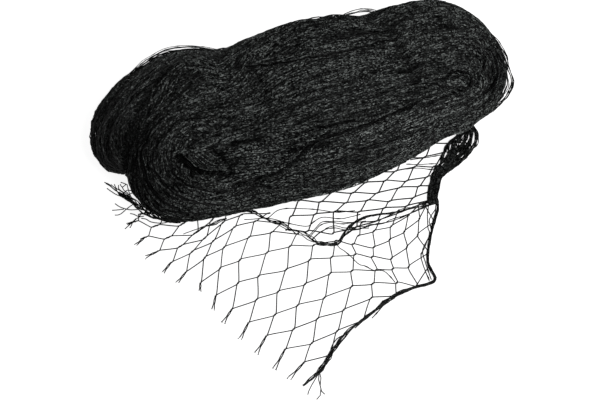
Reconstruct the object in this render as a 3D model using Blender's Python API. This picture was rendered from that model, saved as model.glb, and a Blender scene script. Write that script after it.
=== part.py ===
"""Bird netting: a long wound hank of knotted black net, with its loose end spread in front of it.

Metres, +Z up. The hank lies along X on its flat underside, whose middle is the origin.
The loose end lies on the same level, towards -Y.
"""

import math

import bmesh
import bpy
from mathutils import Vector

# Driving sizes of the net
BAR = 0.050
TWINE = 0.0016
NET_LIFT = 0.0008
KNOT_WANDER = 0.0025
WANDER_TURN = 2.4
TAIL_LENGTH = 0.42 * BAR
CLEARANCE = 0.0004

# Driving sizes of the hank
VOXEL = 0.0140
SINK = 0.014
SQUARE_ALONG = 0.62
SQUARE_ACROSS = 0.84
RINGS = 40
RING_POINTS = 48

# Skeins that make up the hank, a row for each section across a skein.
# Columns: place along X, middle in Y, half depth, height of the top above the underside
FRONT_SKEIN = (
    (-0.325, -0.035, 0.114, 0.150),
    (-0.250, -0.026, 0.126, 0.174),
    (-0.110, -0.004, 0.144, 0.176),
    (0.030, 0.002, 0.166, 0.205),
    (0.170, 0.004, 0.152, 0.190),
    (0.240, 0.010, 0.140, 0.196),
    (0.330, 0.006, 0.146, 0.194),
    (0.415, 0.005, 0.120, 0.150),
)
REAR_SKEIN = (
    (-0.365, 0.080, 0.104, 0.105),
    (-0.280, 0.098, 0.110, 0.128),
    (-0.160, 0.104, 0.098, 0.165),
    (-0.105, 0.086, 0.086, 0.152),
    (0.000, 0.082, 0.098, 0.165),
    (0.175, 0.064, 0.080, 0.150),
    (0.320, 0.046, 0.080, 0.150),
)

# Troughs pressed into the top of the hank.
# Columns: name, half width, depth, points in plan
TROUGHS = (
    ("left eye", 0.044, 0.036, ((-0.235, -0.070), (-0.175, -0.080))),
    ("left eye fold", 0.030, 0.014, ((-0.175, -0.055), (-0.125, -0.125))),
    ("right eye", 0.042, 0.024, ((0.265, -0.055), (0.310, -0.062))),
    ("upper crease", 0.032, 0.012, ((-0.125, 0.050), (0.010, 0.062), (0.120, 0.060))),
    ("lower crease", 0.032, 0.014, ((-0.075, -0.100), (0.050, -0.062), (0.200, -0.070))),
    ("left waist", 0.036, 0.014, ((-0.105, 0.130), (-0.080, 0.000))),
    ("right waist", 0.034, 0.014, ((0.180, 0.130), (0.200, -0.030))),
)
SMOOTHINGS = 4

# The spread net in front, a row for each line of knots, counted from the cut edge inwards.
# Columns: line, then the place in plan at each station along the cut edge
FRONT_STATIONS = (-3, 0, 3, 6, 9, 11)
FRONT_LINES = (
    (0, (-0.345, -0.030), (-0.316, -0.137), (-0.260, -0.221), (-0.203, -0.324), (-0.140, -0.429), (-0.100, -0.490)),
    (2, (-0.290, -0.040), (-0.239, -0.122), (-0.196, -0.168), (-0.135, -0.287), (-0.068, -0.393), (-0.025, -0.445)),
    (4, (-0.230, -0.040), (-0.180, -0.085), (-0.126, -0.139), (-0.064, -0.248), (0.010, -0.352), (0.050, -0.385)),
    (6, (-0.170, -0.030), (-0.110, -0.070), (-0.060, -0.150), (-0.008, -0.226), (0.064, -0.338), (0.125, -0.372)),
    (8, (-0.100, -0.030), (-0.040, -0.070), (0.005, -0.150), (0.034, -0.228), (0.098, -0.316), (0.150, -0.335)),
    (10, (-0.030, -0.030), (0.040, -0.080), (0.070, -0.150), (0.085, -0.210), (0.139, -0.264), (0.185, -0.275)),
    (12, (0.050, -0.030), (0.110, -0.090), (0.130, -0.150), (0.150, -0.190), (0.175, -0.215), (0.200, -0.225)),
)
GATHERED_STATION = 9.5
GATHERED_SLACK = 0.15
# Columns: row of meshes, first and last mesh middle along the cut edge
FRONT_ROWS = (
    (1, -2, 9), (2, -1.5, 8.5), (3, 1, 9), (4, 2.5, 8.5), (5, 6, 9), (6, 6.5, 9.5),
    (7, 7, 9), (8, 6.5, 9.5), (9, 6, 9), (10, 6.5, 9.5), (11, 8, 9),
)

# The net between the fold and the hank, a row for each line of knots from the fold backwards.
# Columns: line, then the place in plan at each station from left to right
BACK_STATIONS = (0, 2.5, 5, 6)
BACK_LINES = (
    (0, (-0.084, -0.174), (0.015, -0.212), (0.125, -0.209), (0.176, -0.209)),
    (1, (-0.062, -0.150), (0.035, -0.176), (0.143, -0.203), (0.190, -0.203)),
    (2, (-0.041, -0.126), (0.058, -0.163), (0.157, -0.190), (0.196, -0.190)),
    (3, (-0.015, -0.113), (0.080, -0.151), (0.180, -0.171), (0.206, -0.178)),
    (4, (0.010, -0.100), (0.106, -0.136), (0.197, -0.159), (0.226, -0.164)),
    (5, (0.035, -0.088), (0.130, -0.120), (0.222, -0.140), (0.250, -0.150)),
    (6, (0.060, -0.070), (0.155, -0.104), (0.248, -0.121), (0.276, -0.134)),
    (7, (0.085, -0.050), (0.180, -0.088), (0.272, -0.102), (0.298, -0.116)),
)

# Gathered strands that run as one, a row for each bundle.
# Columns: name, radius at its points, points in plan
BUNDLES = (
    ("right edge", (0.0026, 0.0045, 0.0062, 0.0034, 0.0030, 0.0036, 0.0036, 0.0026, 0.0028, 0.0026, 0.0030, 0.0050),
     ((-0.156, -0.465), (-0.120, -0.449), (-0.079, -0.415), (-0.034, -0.392), (0.009, -0.377), (0.053, -0.362),
      (0.091, -0.360), (0.130, -0.358), (0.132, -0.321), (0.158, -0.273), (0.191, -0.224), (0.199, -0.195))),
    ("fold", (0.0016, 0.0022, 0.0032, 0.0032, 0.0024, 0.0022, 0.0030, 0.0036, 0.0040),
     ((-0.126, -0.122), (-0.084, -0.174), (-0.040, -0.217), (-0.008, -0.224), (0.022, -0.212), (0.056, -0.196),
      (0.100, -0.204), (0.150, -0.204), (0.196, -0.195))),
    ("fold underlay", (0.0020, 0.0026, 0.0026, 0.0026, 0.0034),
     ((0.026, -0.215), (0.062, -0.222), (0.100, -0.219), (0.150, -0.212), (0.194, -0.198))),
    ("bunch left", (0.0050, 0.0052, 0.0056, 0.0060, 0.0060),
     ((0.194, -0.200), (0.198, -0.174), (0.224, -0.152), (0.258, -0.126), (0.296, -0.070))),
    ("bunch middle", (0.0046, 0.0060, 0.0072, 0.0070, 0.0070),
     ((0.196, -0.202), (0.208, -0.176), (0.239, -0.156), (0.279, -0.132), (0.312, -0.062))),
    ("bunch right", (0.0040, 0.0054, 0.0070, 0.0056, 0.0060),
     ((0.198, -0.204), (0.216, -0.182), (0.248, -0.166), (0.298, -0.135), (0.330, -0.055))),
)
BUNDLE_SIDES = 7
STEP_ALONG = 0.012

# Cut ends of twine that stand off the net beside the one at each knot of the cut edge.
# Columns: strands that cross at the root, reach from it in plan
KNOT_ENDS = (
    (-1, -1, (-0.030, 0.006)),
    (-2, -2, (-0.030, 0.012)),
    (-2, -2, (-0.034, 0.040)),
)
# Columns: root in plan on the gathered edge, reach from it in plan
EDGE_ENDS = (
    ((-0.122, -0.450), (-0.036, -0.040)),
    ((-0.120, -0.450), (-0.026, -0.052)),
    ((-0.118, -0.450), (-0.010, -0.048)),
)
TAIL_REACH = (-0.60, -0.80)
TAIL_RADII = (0.0011, 0.0006)
TAIL_GRIP = 0.1
TAIL_SIDES = 5


def clear_scene():
    for obj in list(bpy.data.objects):
        bpy.data.objects.remove(obj, do_unlink=True)


def black_net(name):
    material = bpy.data.materials.new(name)
    material.use_nodes = True
    shader = material.node_tree.nodes["Principled BSDF"]
    shader.inputs["Base Color"].default_value = (0.016, 0.017, 0.017, 1.0)
    shader.inputs["Roughness"].default_value = 0.62
    shader.inputs["Metallic"].default_value = 0.0
    return material


def link(name, mesh):
    obj = bpy.data.objects.new(name, mesh)
    bpy.context.scene.collection.objects.link(obj)
    return obj


def bake_modifiers(obj):
    """Give the object the mesh that its modifiers make, and drop them."""
    graph = bpy.context.evaluated_depsgraph_get()
    mesh = bpy.data.meshes.new_from_object(obj.evaluated_get(graph))
    obj.modifiers.clear()
    obj.data = mesh


def smooth_value(places, values, at):
    """Value at a place on the smooth curve through values given at rising places."""
    last = len(places) - 1
    k = 0
    while k < last - 1 and at > places[k + 1]:
        k += 1
    before, after = max(k - 1, 0), min(k + 2, last)
    span = places[k + 1] - places[k]
    slope_in = (values[k + 1] - values[before]) / (places[k + 1] - places[before])
    slope_out = (values[after] - values[k]) / (places[after] - places[k])
    f = (at - places[k]) / span
    if f < 0.0:
        return values[0] + slope_in * (at - places[0])
    if f > 1.0:
        return values[last] + slope_out * (at - places[last])
    return ((2 * f ** 3 - 3 * f ** 2 + 1) * values[k]
            + (f ** 3 - 2 * f ** 2 + f) * span * slope_in
            + (3 * f ** 2 - 2 * f ** 3) * values[k + 1]
            + (f ** 3 - f ** 2) * span * slope_out)


def rounded(value, squareness):
    return math.copysign(abs(value) ** squareness, value)


def skein_surface(bm, sections):
    """Add one closed, round-ended skein to the mesh: rings across X between two end points."""
    places = [row[0] for row in sections]
    columns = [[row[c] for row in sections] for c in (1, 2, 3)]
    middle_x = (places[0] + places[-1]) / 2
    half_length = (places[-1] - places[0]) / 2
    rings = []
    for i in range(1, RINGS):
        along = -math.pi / 2 + math.pi * i / RINGS
        x = middle_x + half_length * rounded(math.sin(along), SQUARE_ALONG)
        size = rounded(math.cos(along), SQUARE_ALONG)
        middle_y, half_depth, top = (smooth_value(places, column, x) for column in columns)
        half_height = (top + SINK) / 2
        ring = []
        for j in range(RING_POINTS):
            turn = 2 * math.pi * j / RING_POINTS
            y = middle_y + half_depth * size * rounded(math.cos(turn), SQUARE_ACROSS)
            z = half_height * (1 + size * rounded(math.sin(turn), SQUARE_ACROSS)) - SINK
            ring.append(bm.verts.new((x, y, z)))
        rings.append(ring)
    for low, high in zip(rings, rings[1:]):
        for j in range(RING_POINTS):
            k = (j + 1) % RING_POINTS
            bm.faces.new((low[j], low[k], high[k], high[j]))
    for ring, x, row in ((rings[0], places[0], sections[0]), (rings[-1], places[-1], sections[-1])):
        tip = bm.verts.new((x, row[1], (row[3] + SINK) / 2 - SINK))
        for j in range(RING_POINTS):
            bm.faces.new((ring[j], ring[(j + 1) % RING_POINTS], tip))


def nearest_on_route(point, route):
    """Nearest place in plan to a point on a line through several points."""
    places = []
    for a, b in zip(route, route[1:]):
        start, run = Vector(a), Vector(b) - Vector(a)
        f = max(0.0, min(1.0, (point - start).dot(run) / run.length_squared))
        places.append(start + run * f)
    return min(places, key=lambda place: (place - point).length)


def press_troughs(bm):
    """Push the top of the hank in along each trough, deepest on its line."""
    bm.normal_update()
    moves = []
    for vert in bm.verts:
        if vert.normal.z < 0.1:
            continue
        depth = 0.0
        for _, half_width, full_depth, route in TROUGHS:
            away = (nearest_on_route(vert.co.xy, route) - vert.co.xy).length / half_width
            if away < 1.0:
                depth = max(depth, full_depth * (1 + math.cos(math.pi * away)) / 2)
        if depth:
            moves.append((vert, -depth * vert.normal))
    for vert, move in moves:
        vert.co += move


def flatten_underside(bm):
    """Cut the hank level where it lies, and close the cut."""
    cut = bmesh.ops.bisect_plane(bm, geom=bm.verts[:] + bm.edges[:] + bm.faces[:],
                                 plane_co=(0, 0, 0), plane_no=(0, 0, -1), clear_outer=True)
    rim = [item for item in cut["geom_cut"] if isinstance(item, bmesh.types.BMEdge)]
    bmesh.ops.contextual_create(bm, geom=rim)
    bmesh.ops.recalc_face_normals(bm, faces=bm.faces[:])


def make_hank(material):
    mesh = bpy.data.meshes.new("hank")
    bm = bmesh.new()
    skein_surface(bm, FRONT_SKEIN)
    skein_surface(bm, REAR_SKEIN)
    bmesh.ops.recalc_face_normals(bm, faces=bm.faces[:])
    bm.to_mesh(mesh)
    bm.free()
    obj = link("hank", mesh)
    remesh = obj.modifiers.new("one skin", "REMESH")
    remesh.mode = "VOXEL"
    remesh.voxel_size = VOXEL
    bake_modifiers(obj)
    bm = bmesh.new()
    bm.from_mesh(obj.data)
    press_troughs(bm)
    for _ in range(SMOOTHINGS):
        bmesh.ops.smooth_vert(bm, verts=bm.verts[:], factor=0.5, use_axis_x=True, use_axis_y=True, use_axis_z=True)
    flatten_underside(bm)
    bm.to_mesh(obj.data)
    bm.free()
    obj.data.shade_smooth()
    obj.data.materials.append(material)
    return obj


def net_point(stations, lines, station, line):
    """Place of a knot: along each line of the table first, then across the lines."""
    numbers = [row[0] for row in lines]
    place = []
    for axis in (0, 1):
        along = [smooth_value(stations, [point[axis] for point in row[1:]], station) for row in lines]
        place.append(smooth_value(numbers, along, line))
    return Vector(place)


def wander(p, q):
    """Small shift of a knot off its even place, the same each time it is asked for."""
    phase = WANDER_TURN * (p + q * math.sqrt(2))
    return Vector((math.cos(phase), math.sin(phase))) * KNOT_WANDER


def front_knot(p, q):
    """Knot where strand p crosses strand q; the last knots of each line are drawn into the right edge."""
    station = (p + q) / 2
    place = net_point(FRONT_STATIONS, FRONT_LINES, station, p - q)
    if station >= GATHERED_STATION:
        return nearest_on_route(place, BUNDLES[0][2]).lerp(place, GATHERED_SLACK)
    return place + wander(p, q)


def back_knot(column, line):
    return net_point(BACK_STATIONS, BACK_LINES, column, line) + wander(column, line)


def add_meshes(bm, cells, place):
    """Add each diamond as a face; neighbours share their knots."""
    knots = {}
    for p, q in cells:
        corners = []
        for corner in ((p, q), (p + 1, q), (p + 1, q + 1), (p, q + 1)):
            if corner not in knots:
                knots[corner] = bm.verts.new((*place(*corner), NET_LIFT))
            corners.append(knots[corner])
        bm.faces.new(corners)


def front_cells():
    for line, first, last in FRONT_ROWS:
        for step in range(int(last - first) + 1):
            middle = first + step
            yield round(middle + (line - 1) / 2), round(middle - (line + 1) / 2)


def back_cells():
    for line in range(BACK_LINES[-1][0]):
        for column in range(BACK_STATIONS[-1]):
            yield column, line


def netting(name, cells, place):
    """Strands along every edge of the diamonds, as one openwork sheet."""
    mesh = bpy.data.meshes.new(name)
    bm = bmesh.new()
    add_meshes(bm, cells, place)
    bmesh.ops.recalc_face_normals(bm, faces=bm.faces[:])
    if bm.faces[:][0].normal.z < 0:
        bmesh.ops.reverse_faces(bm, faces=bm.faces[:])
    bm.to_mesh(mesh)
    bm.free()
    obj = link(name, mesh)
    twine = obj.modifiers.new("twine", "WIREFRAME")
    twine.thickness = TWINE
    twine.offset = 0.0
    twine.use_boundary = True
    twine.use_even_offset = True
    twine.use_replace = True
    bake_modifiers(obj)
    return obj


def smooth_route(points, radii):
    """Places and radii a short step apart on the smooth line through a few points."""
    distances = [0.0]
    for a, b in zip(points, points[1:]):
        distances.append(distances[-1] + (Vector(b) - Vector(a)).length)
    steps = max(2, round(distances[-1] / STEP_ALONG))
    route = []
    for i in range(steps + 1):
        at = distances[-1] * i / steps
        x, y, radius = (smooth_value(distances, values, at)
                        for values in ([p[0] for p in points], [p[1] for p in points], radii))
        route.append((Vector((x, y)), radius))
    return route


def lay_strand(name, route, sides):
    """A closed round strand lying level along a route of places and radii."""
    mesh = bpy.data.meshes.new(name)
    bm = bmesh.new()
    rings = []
    for i, (place, radius) in enumerate(route):
        ahead = route[min(i + 1, len(route) - 1)][0] - route[max(i - 1, 0)][0]
        across = Vector((-ahead.y, ahead.x)).normalized()
        ring = []
        for j in range(sides):
            turn = 2 * math.pi * (j + 0.5) / sides
            flat = place + across * radius * math.cos(turn)
            height = NET_LIFT - TWINE / 2 + radius * (1 + math.sin(turn))
            ring.append(bm.verts.new((flat.x, flat.y, height)))
        rings.append(ring)
    for low, high in zip(rings, rings[1:]):
        for j in range(sides):
            k = (j + 1) % sides
            bm.faces.new((low[j], low[k], high[k], high[j]))
    bm.faces.new(rings[0])
    bm.faces.new(rings[-1])
    bmesh.ops.recalc_face_normals(bm, faces=bm.faces[:])
    bm.to_mesh(mesh)
    bm.free()
    obj = link(name, mesh)
    obj.hide_render = True
    obj.display_type = "WIRE"
    return obj


def join_solid(obj, other, operation="UNION"):
    """Unite the other solid with the object, or cut it away, and drop the other."""
    boolean = obj.modifiers.new(other.name, "BOOLEAN")
    boolean.operation = operation
    boolean.solver = "EXACT"
    boolean.object = other
    bake_modifiers(obj)
    bpy.data.objects.remove(other, do_unlink=True)


def cut_ends():
    """Strands for the cut ends: one at every knot of the cut edge, and the ones of the table."""
    for n in range(FRONT_ROWS[0][1], FRONT_ROWS[0][2] + 1):
        root = front_knot(n, n)
        reach = Vector(TAIL_REACH) * TAIL_LENGTH * (1 + 0.5 * n / FRONT_ROWS[0][2])
        yield root, reach
    for p, q, reach in KNOT_ENDS:
        yield front_knot(p, q), Vector(reach)
    for root, reach in EDGE_ENDS:
        yield Vector(root), Vector(reach)


def keep_largest(obj):
    """Drop the scraps that a cut leaves beside the main piece."""
    bm = bmesh.new()
    bm.from_mesh(obj.data)
    left = set(bm.verts)
    pieces = []
    while left:
        piece, edge = set(), [left.pop()]
        while edge:
            vert = edge.pop()
            piece.add(vert)
            for link_edge in vert.link_edges:
                other = link_edge.other_vert(vert)
                if other in left:
                    left.remove(other)
                    edge.append(other)
        pieces.append(piece)
    pieces.sort(key=len)
    scraps = [vert for piece in pieces[:-1] for vert in piece]
    bmesh.ops.delete(bm, geom=scraps, context="VERTS")
    bm.to_mesh(obj.data)
    bm.free()


def hank_cutter(hank):
    """The hank grown by the clearance, to trim the net where it runs in under it."""
    mesh = hank.data.copy()
    for vert, normal in zip(mesh.vertices, [v.vector.copy() for v in mesh.vertex_normals]):
        vert.co += normal * CLEARANCE
    return link("hank cutter", mesh)


def make_loose_net(material, hank):
    net = netting("loose_net", front_cells(), front_knot)
    join_solid(net, netting("back meshes", back_cells(), back_knot))
    for name, radii, points in BUNDLES:
        join_solid(net, lay_strand(name, smooth_route(points, radii), BUNDLE_SIDES))
    for root, reach in cut_ends():
        start, middle = root - reach * TAIL_GRIP, root + reach * 0.5
        route = [(start, TAIL_RADII[0]), (middle, TAIL_RADII[0]), (root + reach, TAIL_RADII[1])]
        join_solid(net, lay_strand("cut end", route, TAIL_SIDES))
    join_solid(net, hank_cutter(hank), "DIFFERENCE")
    keep_largest(net)
    net.data.shade_flat()
    net.data.materials.clear()
    net.data.materials.append(material)
    return net


def main():
    clear_scene()
    hank = make_hank(black_net("wound_net"))
    make_loose_net(black_net("loose_net"), hank)


main()
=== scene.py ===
# %% [markdown]
# # Bird netting
# The object is one long net of black twine, knotted in diamonds. Most of it is gathered lengthways, so that
# the diamonds close, and wound into a hank. The loose end is spread out in front of the hank, with a cut
# edge on the left and its right edge drawn together into a thick strand.
#
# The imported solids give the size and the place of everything. This script dresses them: the hank gets
# layers of real strands over a dark core, and the flat end gets twine with knots and cut ends.

import math
import random

import bpy
import numpy as np
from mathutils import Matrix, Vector, noise
from mathutils.bvhtree import BVHTree
from mathutils.kdtree import KDTree


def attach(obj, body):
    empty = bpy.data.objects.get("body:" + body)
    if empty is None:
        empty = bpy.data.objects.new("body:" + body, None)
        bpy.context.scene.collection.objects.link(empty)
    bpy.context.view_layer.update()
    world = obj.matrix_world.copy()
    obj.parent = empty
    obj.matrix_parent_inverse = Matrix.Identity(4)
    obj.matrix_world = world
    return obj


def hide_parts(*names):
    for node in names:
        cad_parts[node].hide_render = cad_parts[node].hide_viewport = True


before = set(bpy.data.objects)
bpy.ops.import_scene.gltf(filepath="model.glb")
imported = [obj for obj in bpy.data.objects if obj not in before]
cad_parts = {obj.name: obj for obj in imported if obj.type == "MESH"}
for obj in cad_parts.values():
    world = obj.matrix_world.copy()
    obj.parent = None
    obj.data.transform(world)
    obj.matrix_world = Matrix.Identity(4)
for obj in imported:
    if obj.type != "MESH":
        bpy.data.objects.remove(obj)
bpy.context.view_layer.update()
random.seed(11)

# %% [markdown]
# ## Sizes of the net
# Everything about a net follows from two sizes: the bar, which is the side of a diamond from knot to knot,
# and the twine. This one has 50 mm bars of 2 mm twine. Gathered twine waves a little between its knots, so
# a bar covers less than its own length.

# %% Sizes
TWINE = 0.0020
GATHERED_BAR = 0.046
KNOT = 1.6
FLOOR_LIFT = 0.85 * TWINE

# %% [markdown]
# ## Camera
# The photograph looks down on the net at about 60 degrees, with a long lens. The camera is aimed from two
# angles and a distance, as a photographer would describe it.

# %% Camera
LOOK_AT = Vector((-0.037, -0.123, 0.0))
CAMERA_TURN = math.radians(-20)
CAMERA_RISE = math.radians(60)
CAMERA_DISTANCE = 2.4
CAMERA_LENS = 79

backwards = Vector((
    math.sin(CAMERA_TURN) * math.cos(CAMERA_RISE),
    -math.cos(CAMERA_TURN) * math.cos(CAMERA_RISE),
    math.sin(CAMERA_RISE),
))
bpy.ops.object.camera_add(location=LOOK_AT + backwards * CAMERA_DISTANCE,
                          rotation=backwards.to_track_quat("Z", "Y").to_euler())
camera = bpy.context.object
camera.data.lens = CAMERA_LENS
bpy.context.scene.camera = camera
print("camera at", [round(c, 3) for c in camera.location])

# %% [markdown]
# ## Shader helper
# A material here is a short formula: the brightness that each strand carries is multiplied by a pattern of
# small cells, and the product mixes two tones. One small class wraps a socket, so that the formulas can be
# written with plus and times. A keyword such as i0 sets the first input of a node.


# %% Shader helper
class Socket:
    """An output socket that can be used in sums and products."""

    def __init__(self, tree, output):
        self.tree = tree
        self.output = output

    def node(self, kind, settings=(), **inputs):
        made = self.tree.nodes.new(kind)
        for name, value in dict(settings).items():
            setattr(made, name, value)
        for name, value in inputs.items():
            numbered = name[0] == "i" and name[1:].isdigit()
            socket = made.inputs[int(name[1:]) if numbered else name]
            if isinstance(value, Socket):
                self.tree.links.new(value.output, socket)
            else:
                socket.default_value = value
        return made

    def maths(self, operation, left, right):
        made = self.node("ShaderNodeMath", {"operation": operation}, i0=left, i1=right)
        return Socket(self.tree, made.outputs[0])

    def __add__(self, other):
        return self.maths("ADD", self, other)

    def __sub__(self, other):
        return self.maths("SUBTRACT", self, other)

    def __rsub__(self, other):
        return self.maths("SUBTRACT", other, self)

    def __mul__(self, other):
        return self.maths("MULTIPLY", self, other)

    __radd__ = __add__
    __rmul__ = __mul__


def start_material(name, roughness):
    """A new material with its Principled shader, and the Object coordinates as a socket."""
    material = bpy.data.materials.new(name)
    material.use_nodes = True
    tree = material.node_tree
    shader = tree.nodes["Principled BSDF"]
    shader.inputs["Roughness"].default_value = roughness
    coordinates = tree.nodes.new("ShaderNodeTexCoord")
    return material, tree, shader, Socket(tree, coordinates.outputs["Object"])


# %% [markdown]
# ## The black twine
# Bird netting is twisted from polyethylene fibres: near black, a little glossy, and each strand catches the
# light in its own way. Each point of a strand carries a tone, which is painted light: painted glints, and
# painted shade in folds, in the depths and where the twine faces away. Cells about as wide as a strand
# break that tone into small painted highlights and vary the gloss, and a fine noise raises the fibres.

# %% Twine material
TWINE_DARK = (0.0015, 0.0015, 0.0016, 1.0)
# Colour of the twine at full tone: the painted highlight.
TWINE_PAINTED_LIGHT = (0.290, 0.312, 0.302, 1.0)
FLECK_SCALE = 430.0
FLECK_GAIN = 3.75
FLECK_GLOSS = 0.3
FIBRE_SCALE = 1400.0
FIBRE_HEIGHT = 0.0002
SPECULAR = 0.12
TWINE_GLOSS = 0.40


def twine_material(name, dark, light, gloss):
    material, tree, shader, place = start_material(name, gloss)
    sheen = place.node("ShaderNodeAttribute", {"attribute_name": "tone"})
    sheen = Socket(tree, sheen.outputs["Fac"])
    cells = place.node("ShaderNodeTexVoronoi", {}, Vector=place, Scale=FLECK_SCALE)
    fleck = place.node("ShaderNodeSeparateColor", {}, Color=Socket(tree, cells.outputs["Color"]))
    fleck = Socket(tree, fleck.outputs["Red"])
    # The tone mixes the dark twine towards its painted light colour: painted highlights and painted shade.
    tone = place.node("ShaderNodeMix", {"data_type": "RGBA"}, i0=sheen * fleck * fleck * fleck * FLECK_GAIN)
    tone.inputs[6].default_value = dark
    tone.inputs[7].default_value = light
    tree.links.new(tone.outputs[2], shader.inputs["Base Color"])
    tree.links.new((fleck * FLECK_GLOSS + (gloss - FLECK_GLOSS / 2)).output, shader.inputs["Roughness"])
    fibres = place.node("ShaderNodeTexNoise", {}, Vector=place, Scale=FIBRE_SCALE, Detail=1.0)
    fibres = Socket(tree, fibres.outputs[0])
    bump = place.node("ShaderNodeBump", {}, Height=fibres, Distance=FIBRE_HEIGHT, Strength=0.5)
    tree.links.new(bump.outputs[0], shader.inputs["Normal"])
    shader.inputs["Specular IOR Level"].default_value = SPECULAR
    return material


black_twine = twine_material("black_twine", TWINE_DARK, TWINE_PAINTED_LIGHT, TWINE_GLOSS)
print("material", black_twine.name)

# %% [markdown]
# ## Drawing twine
# Every strand is a line of points, and each point has a place, a thickness and a tone. A ring of vertices
# is set square to the line at every point, and the rings are joined into a tube. In the hank, where
# thousands of strands lie side by side, a ring of three is enough. Loose twine gets six.


# %% Drawing twine
def rings_along(line, sides, closed):
    """Vertices of a tube along a line, ring after ring."""
    places = np.array([place for place, _, _ in line])
    radii = np.array([thickness for _, thickness, _ in line]) * TWINE / 2
    if closed:
        run = np.roll(places, -1, axis=0) - np.roll(places, 1, axis=0)
    else:
        run = np.gradient(places, axis=0)
    run /= np.linalg.norm(run, axis=1)[:, None]
    steady = np.linalg.eigh(run.T @ run)[1][:, 0]
    across = np.cross(run, steady)
    across /= np.linalg.norm(across, axis=1)[:, None]
    upward = np.cross(across, run)
    turns = np.arange(sides) * 2 * math.pi / sides
    ring = across[:, None] * np.cos(turns)[None, :, None] + upward[:, None] * np.sin(turns)[None, :, None]
    return (places[:, None] + ring * radii[:, None, None]).reshape(-1, 3)


def draw_twine(name, lines, sides, material, closed=False):
    """One mesh piece of twine along lines, each a list of (place, thickness, tone)."""
    verts, faces, tones = [], [], []
    for line in lines:
        base, count = len(tones), len(line)
        verts.append(rings_along(line, sides, closed))
        tones += [tone for _, _, tone in line for _ in range(sides)]
        for i in range(count if closed else count - 1):
            here, there = base + i * sides, base + (i + 1) % count * sides
            for j in range(sides):
                k = (j + 1) % sides
                faces.append((here + j, there + j, there + k, here + k))
        if not closed:
            last = base + (count - 1) * sides
            faces.append(tuple(base + j for j in range(sides)))
            faces.append(tuple(last + j for j in reversed(range(sides))))
    mesh = bpy.data.meshes.new(name)
    mesh.from_pydata(np.concatenate(verts).tolist(), [], faces)
    tone = mesh.attributes.new("tone", "FLOAT", "POINT")
    tone.data.foreach_set("value", tones)
    mesh.materials.append(material)
    mesh.shade_smooth()
    obj = bpy.data.objects.new(name, mesh)
    bpy.context.scene.collection.objects.link(obj)
    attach(obj, "root")
    mesh.calc_loop_triangles()
    print(name, len(lines), "strands,", len(mesh.loop_triangles), "triangles")
    return obj


# %% [markdown]
# Long strands are given by a few stops. A smooth curve runs through the stops, and places are taken along
# it.


# %% Smooth routes
ROUTE_STEP = 0.006


def smooth_value(places, values, at):
    """Value at a place on the smooth curve through values given at rising places."""
    last = len(places) - 1
    k = 0
    while k < last - 1 and at > places[k + 1]:
        k += 1
    before, after = max(k - 1, 0), min(k + 2, last)
    span = places[k + 1] - places[k]
    slope_in = (values[k + 1] - values[before]) / (places[k + 1] - places[before])
    slope_out = (values[after] - values[k]) / (places[after] - places[k])
    f = (at - places[k]) / span
    if f < 0.0:
        return values[0] + slope_in * (at - places[0])
    if f > 1.0:
        return values[last] + slope_out * (at - places[last])
    return ((2 * f ** 3 - 3 * f ** 2 + 1) * values[k]
            + (f ** 3 - 2 * f ** 2 + f) * span * slope_in
            + (3 * f ** 2 - 2 * f ** 3) * values[k + 1]
            + (f ** 3 - f ** 2) * span * slope_out)


def smooth_route(stops, step=ROUTE_STEP):
    """Places a step apart along the smooth curve through the stops."""
    stops = [Vector(stop) for stop in stops]
    gone = [0.0]
    for a, b in zip(stops, stops[1:]):
        gone.append(gone[-1] + (b - a).length)
    count = max(2, round(gone[-1] / step))
    places = []
    for i in range(count + 1):
        at = gone[-1] * i / count
        places.append(Vector([smooth_value(gone, [stop[axis] for stop in stops], at)
                              for axis in range(len(stops[0]))]))
    return places


print("a straight route of 0.1 m has", len(smooth_route(((0.0, 0.0), (0.1, 0.0)))), "places")

# %% [markdown]
# ## How the hank is wound
# The gathered net runs along the hank, turns round its end, comes back and turns again, like thread on a
# card. Seen from above, the strands circle two eyes, one near each end. So each strand is a loop round the
# line between the eyes. An angle says how far down the side it lies: small by the eyes, a quarter turn half
# way down, and more towards the floor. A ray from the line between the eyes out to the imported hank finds
# its place on the surface. The front and the rear skein have two eyes each.

# %% Winding
CROWN = Vector((0.0, -0.53, 0.85)).normalized()
ALONG = Vector((1.0, 0.0, 0.0))
REAR = CROWN.cross(ALONG)
LOOP_REACH = 0.14
FRONT_EYES = (Vector((-0.199, -0.030, 0.090)), Vector((0.294, -0.030, 0.090)))
REAR_EYES = (Vector((-0.262, 0.078, 0.060)), Vector((0.000, 0.078, 0.060)))

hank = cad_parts["hank"]
hank_surface = BVHTree.FromPolygons([v.co for v in hank.data.vertices],
                                    [tuple(p.vertices) for p in hank.data.polygons])


def loop_length(eyes, angle):
    """Length of a loop round the line between two eyes."""
    reach = LOOP_REACH * math.sin(max(0.0, min(angle, math.pi / 2)))
    return 2 * ((eyes[1] - eyes[0]).length + math.pi * reach)


def aim(eyes, angle, share, tilt):
    """Where a ray starts and which way it goes: a share of the way round a loop, tilted from the crown."""
    straight = (eyes[1] - eyes[0]).length
    reach = max(0.001, LOOP_REACH * math.sin(min(angle, math.pi / 2)))
    gone = (share % 1.0) * loop_length(eyes, angle)
    if gone < straight:
        start, outward = eyes[0].lerp(eyes[1], gone / straight), REAR
    elif gone < straight + math.pi * reach:
        turn = (gone - straight) / reach
        start, outward = eyes[1], REAR * math.cos(turn) + ALONG * math.sin(turn)
    elif gone < 2 * straight + math.pi * reach:
        start, outward = eyes[1].lerp(eyes[0], (gone - straight - math.pi * reach) / straight), -REAR
    else:
        turn = (gone - 2 * straight - math.pi * reach) / reach
        start, outward = eyes[0], -REAR * math.cos(turn) - ALONG * math.sin(turn)
    return start, CROWN * math.cos(tilt) + outward * math.sin(tilt)


# %% [markdown]
# The rear skein lies behind a deep crease at the left. A strand that reaches the crease from either side
# dives into the hank there, as a real one passes under its neighbour.

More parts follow.
